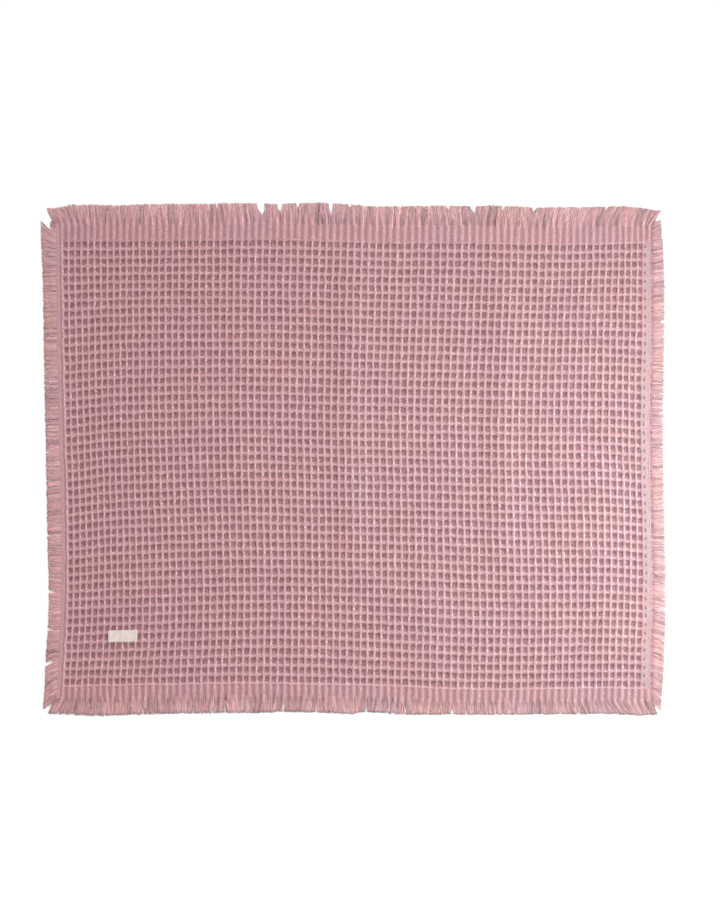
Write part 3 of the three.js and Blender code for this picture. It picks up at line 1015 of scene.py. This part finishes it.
def waffle_cotton(groups):
    """The waffle: hollows in painted shade between paler ridges, a painted highlight line along each
    ridge, and plain selvedges with a sunk line in painted shade on the left and a row of dots on the right."""
    material, tree, shader = cotton_shader("waffle_cotton")
    weave = noted(tree, "weave")
    column, _, share = parts_of(tree, weave)
    cells = placed(tree, groups["cells"], Place=weave)
    first = calculated(tree, "MULTIPLY", calculated(tree, "LESS_THAN", column, 0.5), FIRST_RIB_EXTRA)
    open_across = soft_range(tree, calculated(tree, "SUBTRACT", cells["Across"], first), 0.08, 0.3)
    open_along = soft_range(tree, cells["Along"], 0.1, 0.3)
    past_first = calculated(tree, "GREATER_THAN", column, 0)
    inside = calculated(tree, "MULTIPLY", past_first, calculated(tree, "LESS_THAN", column, COLUMNS))
    opened = calculated(tree, "MULTIPLY", calculated(tree, "MULTIPLY", open_across, open_along), inside)
    uneven = calculated(tree, "MULTIPLY_ADD", calculated(tree, "SUBTRACT", cells["Cell"], 0.5), 0.2, opened)
    hollow = calculated(tree, "MULTIPLY", soft_range(tree, uneven, 0.15, 0.65), inside)

    ridges = mixed(tree, open_across, CREST_PINK, WEFT_PINK)
    # Painted highlight lines along the ridges
    weft_highlight = calculated(tree, "MULTIPLY", cells["Weft Highlight"], 0.45)
    lines = calculated(tree, "MAXIMUM", cells["Warp Highlight"], weft_highlight)
    lit = mixed(tree, calculated(tree, "MULTIPLY", lines, inside), ridges, HIGHLIGHT_PINK)
    # The floors of the hollows in painted shade, darkest under the ridge above
    floor = mixed(tree, cells["Light"], DEEP_SHADE_PINK, HALF_SHADE_PINK)
    off_dots = calculated(tree, "ABSOLUTE", calculated(tree, "SUBTRACT", column, column_of(DOT_PLACE)))
    beside = soft_range(tree, off_dots, 0.12, 0.24, 1.0, 0.0)
    dots = calculated(tree, "MULTIPLY", beside, soft_range(tree, cells["Along"], 0.26, 0.36))
    # Painted shade on the selvedges' lower parts, such as the sunk line on the left
    selvedge = mixed(tree, soft_range(tree, share, 0.25, 0.65), DEEP_SHADE_PINK, STRIP_PINK)
    color = mixed(tree, inside, mixed(tree, dots, selvedge, DOT_PINK), mixed(tree, hollow, lit, floor))
    toned = placed(tree, groups["tone"], Color=color, Place=object_place(tree), Drift=0.6, Fleck=0.8)
    join(tree, toned["Color"], shader.inputs["Base Color"])

    join(tree, soft_range(tree, hollow, 0.0, 1.0, 0.5, 0.95), shader.inputs["Roughness"])
    relief_left = calculated(tree, "SUBTRACT", 1, hollow)
    single = calculated(tree, "MULTIPLY", cells["Yarns"], 0.16)
    yarns = calculated(tree, "ADD", single, calculated(tree, "MULTIPLY", cells["Light"], 0.4))
    height = calculated(tree, "ADD", relief_left, yarns)
    fuzz = placed(tree, groups["fuzz"], Place=object_place(tree))["Height"]
    bumped(tree, shader, (height, 0.0007), (fuzz, 0.00025))
    return material


def ribbed_cotton(groups):
    """The bands and selvedge strips: pale ribs with a painted highlight line, and grooves between in painted
    shade.
    """
    material, tree, shader = cotton_shader("ribbed_cotton")
    cells = placed(tree, groups["cells"], Place=noted(tree, "weave"))
    # Painted shade in the grooves between ribs, and a painted highlight along each rib
    groove = soft_range(tree, cells["Across"], 0.2, 0.34)
    line = calculated(tree, "MULTIPLY", cells["Warp Highlight"], 0.5)
    color = mixed(tree, groove, mixed(tree, line, CREST_PINK, HIGHLIGHT_PINK), GROOVE_SHADE_PINK)
    toned = placed(tree, groups["tone"], Color=color, Place=object_place(tree), Drift=0.6, Fleck=0.6)
    join(tree, toned["Color"], shader.inputs["Base Color"])
    fuzz = placed(tree, groups["fuzz"], Place=object_place(tree))["Height"]
    bumped(tree, shader, (cells["Yarns"], 0.0002), (fuzz, 0.00025))
    return material


def strip_cotton(groups):
    """The outermost strips of the selvedges: plain, a little cooler than the rest, and in painted shade
    where they are sunk."""
    material, tree, shader = cotton_shader("strip_cotton")
    share = parts_of(tree, noted(tree, "weave"))[2]
    # Painted shade where the strip is sunk
    color = mixed(tree, soft_range(tree, share, 0.15, 0.5), DEEP_SHADE_PINK, STRIP_PINK)
    toned = placed(tree, groups["tone"], Color=color, Place=object_place(tree), Drift=0.6, Fleck=0.5)
    join(tree, toned["Color"], shader.inputs["Base Color"])
    fuzz = placed(tree, groups["fuzz"], Place=object_place(tree))["Height"]
    bumped(tree, shader, (fuzz, 0.00025))
    return material


def yarn_cotton(groups):
    """The loose ends: each yarn has its own tone, those from a groove or a sunk strip start in painted
    shade, and the twist shows as slanting ridges."""
    material, tree, shader = cotton_shader("yarn_cotton")
    tone, shade, _ = parts_of(tree, noted(tree, "yarn"))
    # Painted shade where yarns leave a groove or the sunk strip
    color = mixed(tree, shade, YARN_PINK, GROOVE_SHADE_PINK)
    own_tone = calculated(tree, "MULTIPLY_ADD", tone, TONE_STRENGTH, 1.0)
    color = mixed(tree, 1.0, color, own_tone, "MULTIPLY")
    toned = placed(tree, groups["tone"], Color=color, Place=object_place(tree), Drift=0.6, Fleck=0.35)
    join(tree, toned["Color"], shader.inputs["Base Color"])
    around, along, _ = parts_of(tree, tree.nodes.new("ShaderNodeUVMap").outputs["UV"])
    strands = calculated(tree, "MULTIPLY", around, 2)
    turns = calculated(tree, "ADD", strands, calculated(tree, "MULTIPLY", along, YARN_TURNS))
    twist = calculated(tree, "SINE", calculated(tree, "MULTIPLY", turns, math.tau))
    bumped(tree, shader, (twist, 0.00012))
    return material


def label_cotton():
    """A pale woven tape: fine crossing threads, a little uneven."""
    material, tree, shader = cotton_shader("label_cotton")
    place = object_place(tree)
    x, y, _ = parts_of(tree, place)
    warp = calculated(tree, "SINE", calculated(tree, "MULTIPLY", x, math.tau / TAPE_THREAD))
    weft = calculated(tree, "SINE", calculated(tree, "MULTIPLY", y, math.tau / TAPE_THREAD))
    threads = calculated(tree, "MULTIPLY", warp, weft)
    uneven = soft_range(tree, noise(tree, place, 120, 3), 0.3, 0.7)
    join(tree, mixed(tree, uneven, TAPE_CREAM, TAPE_SHADE), shader.inputs["Base Color"])
    bumped(tree, shader, (threads, 0.00008))
    return material


# Light, floor and camera

def camera():
    data = bpy.data.cameras.new("photo_camera")
    data.lens = LENS
    data.sensor_width = SENSOR
    data.clip_end = 50
    eye = bpy.data.objects.new("photo_camera", data)
    eye.location = EYE
    bpy.context.scene.collection.objects.link(eye)
    bpy.context.scene.camera = eye


def lamp(name, kind, place, target, **settings):
    """A lamp of the studio, turned from its place towards a target."""
    data = bpy.data.lights.new(name, kind)
    for label, value in settings.items():
        setattr(data, label, value)
    holder = bpy.data.objects.new(name, data)
    holder.location = place
    holder.rotation_mode = "QUATERNION"
    holder.rotation_quaternion = (Vector(target) - Vector(place)).to_track_quat("-Z", "Y")
    bpy.context.scene.collection.objects.link(holder)


def studio_light():
    """A white surround, a soft light close by on the right, and an even one from behind."""
    world = bpy.data.worlds.new("studio")
    world.use_nodes = True
    world.node_tree.nodes["Background"].inputs["Color"].default_value = (1, 1, 1, 1)
    world.node_tree.nodes["Background"].inputs["Strength"].default_value = 0.685
    bpy.context.scene.world = world
    lamp(
        "key", "AREA", (1.0, -0.08, 0.55), (0.1, -0.08, 0),
        shape="RECTANGLE", size=0.5, size_y=2.1, energy=26, color=(0.67, 1, 0.97),
    )
    lamp("fill", "SUN", (-0.2, 2.2, 1.7), (0, 0, 0), energy=1.7, angle=1)
    bpy.context.scene.view_settings.view_transform = "Standard"


def pale_floor():
    material = bpy.data.materials.new("floor_paper")
    material.use_nodes = True
    tree = material.node_tree
    shader = tree.nodes["Principled BSDF"]
    shader.inputs["Base Color"].default_value = FLOOR_WHITE
    shader.inputs["Specular IOR Level"].default_value = 0.1
    grain = noise(tree, object_place(tree), 30, 3)
    join(tree, soft_range(tree, grain, 0.3, 0.7, 0.85, 0.95), shader.inputs["Roughness"])
    bm = bmesh.new()
    place = Matrix.Translation((0, 0, -FLOOR_BELOW))
    bmesh.ops.create_grid(bm, x_segments=1, y_segments=1, size=FLOOR_REACH, matrix=place)
    mesh = bpy.data.meshes.new("floor")
    bm.to_mesh(mesh)
    bm.free()
    mesh.materials.append(material)
    floor = bpy.data.objects.new("floor", mesh)
    bpy.context.scene.collection.objects.link(floor)


def dress():
    """Every piece of the blanket, each in place of the CAD node it hides."""
    groups = {"cells": cells_group(), "tone": tone_group(), "fuzz": fuzz_group()}
    waffle, ribbed = waffle_cotton(groups), ribbed_cotton(groups)
    strip, yarn = strip_cotton(groups), yarn_cotton(groups)
    cloth = waffle_cloth(waffle)
    others = [
        ribbed_band("rib_band_top", WAFFLE_BACK, BODY_BACK, "fringe_top", ribbed),
        ribbed_band("rib_band_bottom", WAFFLE_FRONT, BODY_FRONT, "fringe_bottom", ribbed),
        side_strip("selvedge_left", -1, "fringe_left", strip),
        side_strip("selvedge_right", 1, "fringe_right", strip),
    ]
    others += [loose_ends(edge, over, yarn) for edge in EDGES for over in (False, True)]
    tape = label_cotton()
    others += [label_tape(tape), label_stitches(tape)]


camera()
studio_light()
pale_floor()
dress()
